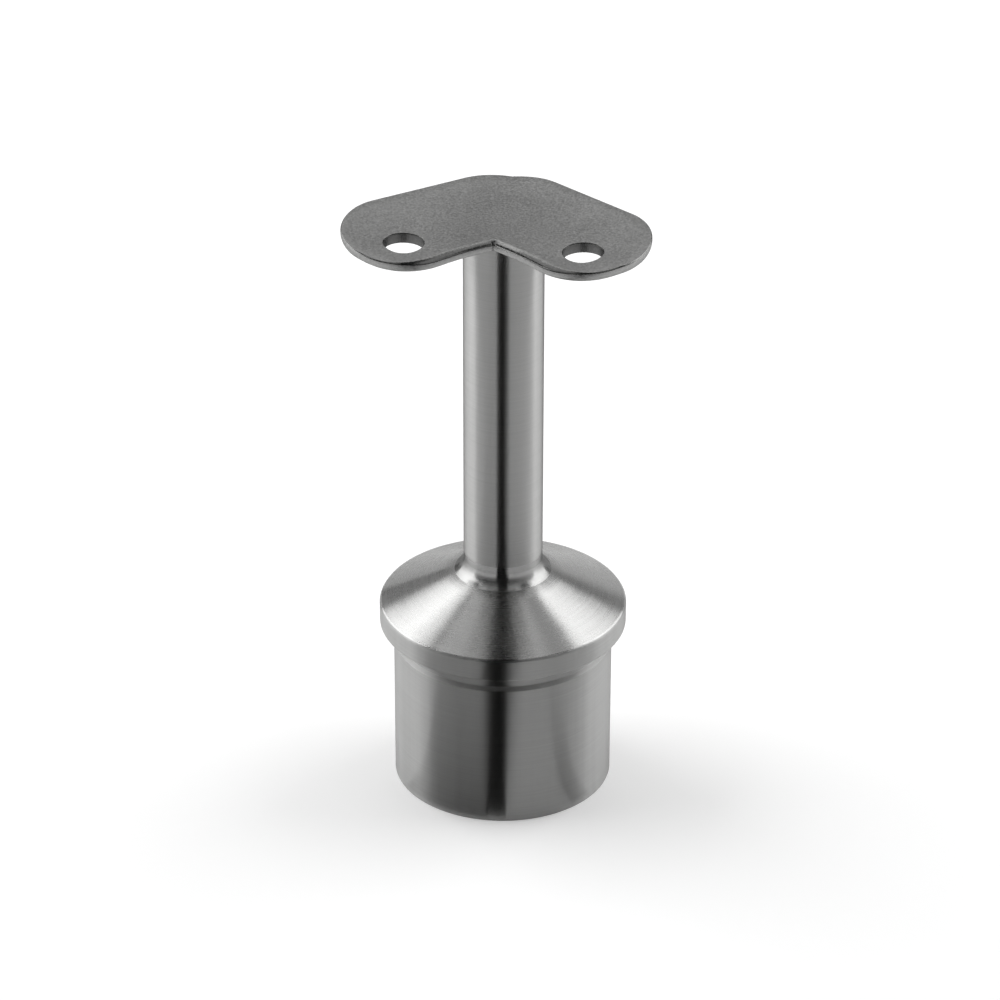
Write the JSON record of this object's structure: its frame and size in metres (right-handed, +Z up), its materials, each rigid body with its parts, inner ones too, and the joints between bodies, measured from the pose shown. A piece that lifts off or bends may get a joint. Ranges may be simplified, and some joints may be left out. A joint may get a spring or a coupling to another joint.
{
  "type": "baluster corner bracket",
  "caption": "Satin steel bracket for the top of a round balustrade post: a hollow plug with collar and conical crown, a slim stem, and an angled saddle plate that carries a handrail corner.",
  "frame": {"origin": "middle of the plug's lower end, on the post's axis", "axes": "+Z up the post's axis, from the plug to the saddle; the saddle is mirrored about the YZ plane, and its arms reach to -Y on both sides of it"},
  "size_m": [0.0506, 0.0428, 0.1085],
  "materials": {
    "cap_steel": "satin, turned",
    "stem_steel": "satin, ground along the bar",
    "saddle_steel": "fine matt"
  },
  "bodies": {
    "root": {"post_cap": "cap_steel", "stem": "stem_steel", "corner_saddle": "saddle_steel"}
  },
  "joints": []
}
